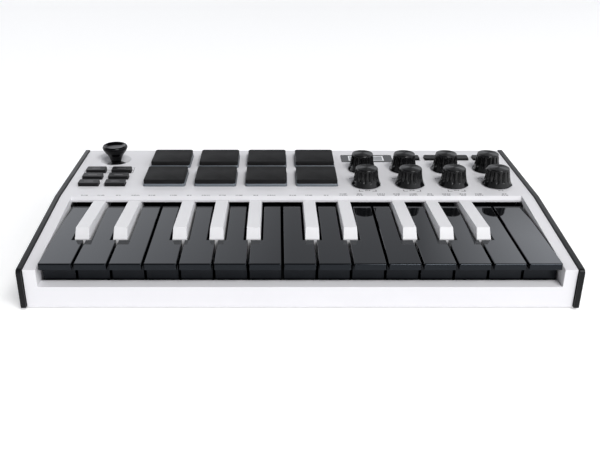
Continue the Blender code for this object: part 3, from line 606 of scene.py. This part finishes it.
def make_joystick():
    """The stick has a dished head on a flaring neck, and a hollow dome about its pivot, round the shaft."""
    pivot = Vector(JOINTS["joystick"]["pos_m"])
    above = (DECK - pivot.z) / MM
    dish = [(0.0, 9.7), (3.0, 9.75), (5.4, 10.05), (6.8, 10.8), (7.5, 11.5)]
    lip = [(8.4, 11.35), (9.1, 10.4), (9.05, 9.3)]
    neck = [(8.5, 8.2), (7.6, 6.7), (6.4, 5.2), (5.4, 3.7), (4.7, 2.0), (4.15, 0.2), (3.6, -1.0)]
    profile = smoothed([(r, z + above) for r, z in dish + lip + neck])
    profile += arc(BALL_OUTSIDE, range(70, 25, -4)) + arc(BALL_INSIDE, range(26, 75, 4))
    profile += [(2.5, 8.5), (2.5, -2.8), (0.0, -2.8)]
    stick = add_piece("thumb_stick", turned("thumb_stick", profile, 72), STICK_GLOSS, 50.0)
    stick.location = pivot
    stand_for(stick, "joystick")


# ---------------------------------------------------------------- display, sockets, screws, print

WINDOW_CORNERS = ((40.2, 68.0), (66.2, 78.2))
DASH_GAP = 0.45
DASH_PATTERNS = ((1.2, 0.7, 1.6), (0.7, 0.7, 2.2), (1.6, 1.0), (0.9, 1.4, 0.9, 0.7))
TWO_ROWS_FROM = 15           # the first key from the left that has a second row of dashes
REAR_KNOBS = 40.0            # knobs behind this are in the rear row
LAST_COLUMN = 130.0          # knobs past this have no brackets
SCREW_PLACES = [(x, y) for x in (-100.0, 0.0, 100.0) for y in (22.0, 77.0)]
SCREW_HEIGHT = 1.05


def make_display():
    """A pale outline round a plain window, both set into the lens."""
    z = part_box("display_lens")[1].z / MM
    (x0, y0), (x1, y1) = WINDOW_CORNERS
    thin, thick = 0.7, 1.0
    frame_bars = [
        ((x0, y0, z - 0.1), (x1, y0 + thin, z + 0.05)),
        ((x0, y1 - thick, z - 0.1), (x1, y1, z + 0.05)),
        ((x0, y0 + thin, z - 0.1), (x0 + thin, y1 - thick, z + 0.05)),
        ((x1 - thick, y0 + thin, z - 0.1), (x1, y1 - thick, z + 0.05)),
    ]
    boxes("display_outline", frame_bars, WINDOW_LINE, "case")
    pane = [((x0 + thin, y0 + thin, z - 0.1), (x1 - thick, y1 - thick, z + 0.02))]
    boxes("display_window", pane, WINDOW, "case")


def make_sockets():
    """The USB shell with its tongue and contacts, and the pedal jack."""
    softened("usb_socket", "usb_shell", STEEL, 0.2, behind(80.0), 2)
    softened("pedal_jack", "jack_body", SOCKET_PLASTIC, 0.3, behind(87.0), 2)
    low, high = (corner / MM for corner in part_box("usb_socket"))
    x, z = (low.x + high.x) / 2, (low.z + high.z) / 2
    tongue = [((x - 2.8, high.y - 12.0, z - 1.6), (x + 2.8, high.y - 3.0, z + 1.6))]
    boxes("usb_tongue", tongue, TONGUE_PLASTIC, "case")
    contacts = []
    for side in (-1, 1):
        for step in (-1, 1):
            cx = x + step * 1.25
            top = z + side * 1.65
            contacts.append(((cx - 0.5, high.y - 11.0, top - 0.1), (cx + 0.5, high.y - 3.6, top + 0.1)))
    boxes("usb_contacts", contacts, STEEL, "case")


def key_middles():
    """The middle of each key's visible width where it meets the deck, from left to right, in millimetres."""
    sharps = [tuple(corner.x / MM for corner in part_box(node)) for node in SHARPS]
    middles = [(left + right) / 2 for left, right in sharps]
    for node in NATURALS:
        natural_left, natural_right = (corner.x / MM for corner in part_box(node))
        low, high = natural_left, natural_right
        for left, right in sharps:
            if left < natural_left < right:
                low = right
            if left < natural_right < right:
                high = left
        middles.append((low + high) / 2)
    return sorted(middles)


def bar(x, y, width, depth):
    """The corners of a printed bar on the deck, from its middle and its size."""
    return (x - width / 2, y - depth / 2, DECK / MM - 0.05), (x + width / 2, y + depth / 2, DECK / MM + 0.03)


def dashes(x, y, parts, depth=0.8):
    """A row of short bars as wide as parts says, with its middle at x, y."""
    at = x - (sum(parts) + DASH_GAP * (len(parts) - 1)) / 2
    bars = []
    for part in parts:
        bars.append(bar(at + part / 2, y, part, depth))
        at += part + DASH_GAP
    return bars


def key_marks():
    marks = []
    for number, x in enumerate(key_middles()):
        marks += dashes(x, 1.0, DASH_PATTERNS[number % len(DASH_PATTERNS)])
        if number >= TWO_ROWS_FROM:
            marks += dashes(x, 3.2, DASH_PATTERNS[(number + 2) % len(DASH_PATTERNS)], 1.0)
    return marks


def knob_marks():
    """Dashes by each knob, between brackets under most of the front row."""
    marks = []
    for node in KNOBS:
        x, y, _ = (v / MM for v in JOINTS[node]["pos_m"])
        if y > REAR_KNOBS:
            marks += dashes(x - 8.8, y - 18.0, (1.0, 0.5, 0.9))
            continue
        marks += dashes(x, y - 11.4, (1.0, 0.5, 0.9))
        if x < LAST_COLUMN:
            for side in (-1, 1):
                marks.append(bar(x + side * 5.6, y - 11.4, 0.45, 2.6))
                marks.append(bar(x + side * 4.4, y - 12.7, 2.8, 0.4))
    return marks


def button_marks():
    """Dashes by the right buttons, and brackets with three ticks between them round the left ones."""
    marks = []
    for node in RIGHT_BUTTONS:
        marks += dashes(middle_of(node).x / MM - 3.2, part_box(node)[0].y / MM - 7.0, (0.9, 0.9, 1.2))
    left = min(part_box(node)[0].x for node in LEFT_BUTTONS) / MM - 0.1
    right = max(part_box(node)[1].x for node in LEFT_BUTTONS) / MM + 0.1
    low, middle, high, line = 42.8, 48.0, 53.2, 0.3
    for x, inward in ((left, 1), (right, -1)):
        marks.append(bar(x, middle, line, high - low))
        marks.append(bar(x + inward * 0.7, high, 1.4, line))
        marks.append(bar(x + inward * 0.7, low, 1.4, line))
    for y in (low, middle, high):
        marks.append(bar((left + right) / 2, y, 3.0, line))
    return marks


def make_prints():
    """Plain marks where a maker would print labels: dashes, brackets and ticks, with no lettering."""
    boxes("deck_print", key_marks() + knob_marks() + button_marks(), PRINT, "case")


def make_screws():
    """Pan-head screws in the recesses of the underside."""
    profile = [(0.0, 0.95), (1.2, 0.95), (2.9, 0.85), (2.9, 0.55), (2.5, 0.2), (1.4, 0.02), (0.0, 0.0)]
    shape = turned("case_screw_shape", profile, 32)
    for number, (x, y) in enumerate(SCREW_PLACES, 1):
        screw = add_piece(f"case_screw_{number}", shape, STEEL)
        screw.location = (x * MM, y * MM, SCREW_HEIGHT * MM)
        attach(screw, "case")


# ---------------------------------------------------------------- camera, light, floor

CAMERA_PLACE = Vector((-13.24, -475.5, 229.15)) * MM
CAMERA_PITCH = 24.61         # degrees down from level
CAMERA_LENS = 46.75
CAMERA_SHIFT = 0.039
BACKDROP_LEVEL = 1.34
BACKDROP_MIDDLE = 0.49       # how bright the middle of the backdrop is beside its two panels
AHEAD_LEVEL = 0.90
STUDIO_TINT = (0.97, 0.985, 1.03)
SOFTBOX_PLACE = (0.72, -1.2, 1.8)
SOFTBOX_SIZE = (0.9, 0.55)
SOFTBOX_POWER = 33.0
FLOOR_COLOUR = (0.81, 0.81, 0.81)
FLOOR_GLOW = 0.37
FLOOR_DROP = 0.2 * MM        # keeps the floor clear of the feet


def make_camera():
    data = bpy.data.cameras.new("camera")
    data.lens = CAMERA_LENS
    data.sensor_width = 36.0
    data.shift_x = CAMERA_SHIFT
    data.clip_start = 0.01
    camera = bpy.data.objects.new("camera", data)
    camera.location = CAMERA_PLACE
    camera.rotation_euler = (math.radians(90 - CAMERA_PITCH), 0.0, 0.0)
    bpy.context.scene.collection.objects.link(camera)
    bpy.context.scene.camera = camera


def make_light(name, place, aim, size, power):
    data = bpy.data.lights.new(name, "AREA")
    data.shape = "RECTANGLE"
    data.size, data.size_y = size
    data.energy = power
    light = bpy.data.objects.new(name, data)
    light.location = place
    light.rotation_euler = (Vector(aim) - Vector(place)).to_track_quat("-Z", "Y").to_euler()
    bpy.context.scene.collection.objects.link(light)


def make_world():
    """A dark studio: two bright panels on a dimmer backdrop behind the keyboard, and a pale wall ahead of it
    that is brighter on the right. Both stop short of the zenith. The ramps run over a direction's parts."""
    world = bpy.data.worlds.new("studio")
    bpy.context.scene.world = world
    world.use_nodes = True
    tree = world.node_tree
    split = tree.nodes.new("ShaderNodeSeparateXYZ")
    tree.links.new(tree.nodes.new("ShaderNodeTexCoord").outputs["Generated"], split.inputs["Vector"])
    x, y, z = (split.outputs[axis] for axis in "XYZ")

    def ramp(value, low, high, to_low, to_high):
        return remapped(tree, value, low, high, to_low, to_high)

    def times(first, second):
        return reckoned(tree, "MULTIPLY", first, second)

    def plus(first, second):
        return reckoned(tree, "ADD", first, second)

    left = times(ramp(x, 0.02, -0.35, 0.0, 1.1), ramp(z, 0.32, 0.40, 0.6, 1.0))
    right = times(ramp(x, 0.18, 0.33, 0.0, 1.25), ramp(z, 0.33, 0.41, 0.0, 1.0))
    panels = times(plus(left, right), ramp(z, 0.5, 0.62, 1.0, 0.0))
    backdrop = plus(panels, ramp(z, 0.5, 0.62, BACKDROP_MIDDLE, 0.0))
    behind = times(backdrop, ramp(y, -0.1, 0.3, 0.0, BACKDROP_LEVEL))

    wall = times(ramp(x, -0.55, 0.55, 0.4, 1.6), ramp(z, 0.6, 0.8, 1.0, 0.0))
    ahead = times(wall, ramp(y, -0.1, 0.3, AHEAD_LEVEL, 0.0))
    tree.links.new(plus(behind, ahead), tree.nodes["Background"].inputs["Strength"])
    tree.nodes["Background"].inputs["Color"].default_value = (*STUDIO_TINT, 1.0)


def make_floor():
    bm = bmesh.new()
    bmesh.ops.create_grid(bm, x_segments=1, y_segments=1, size=3.0)
    floor = bpy.data.objects.new("floor", mesh_of("floor", bm))
    bpy.context.scene.collection.objects.link(floor)
    nodes = moulded("floor_board", FLOOR_COLOUR, 0.6, 0.2, 0.0, 400.0, 0.005)
    nodes.shader.inputs["Emission Color"].default_value = (1.0, 1.0, 1.0, 1.0)
    nodes.shader.inputs["Emission Strength"].default_value = FLOOR_GLOW
    floor.data.materials.append(nodes.material)
    floor.location.z = -FLOOR_DROP


def make_studio():
    make_camera()
    make_world()
    make_floor()
    make_light("softbox", SOFTBOX_PLACE, (0.0, 0.0, 0.0), SOFTBOX_SIZE, SOFTBOX_POWER)
    bpy.context.scene.view_settings.view_transform = "Standard"


make_studio()
make_case()
make_feet()
make_keys()
make_pads()
make_buttons()
make_knobs()
make_joystick()
make_display()
make_sockets()
make_prints()
make_screws()
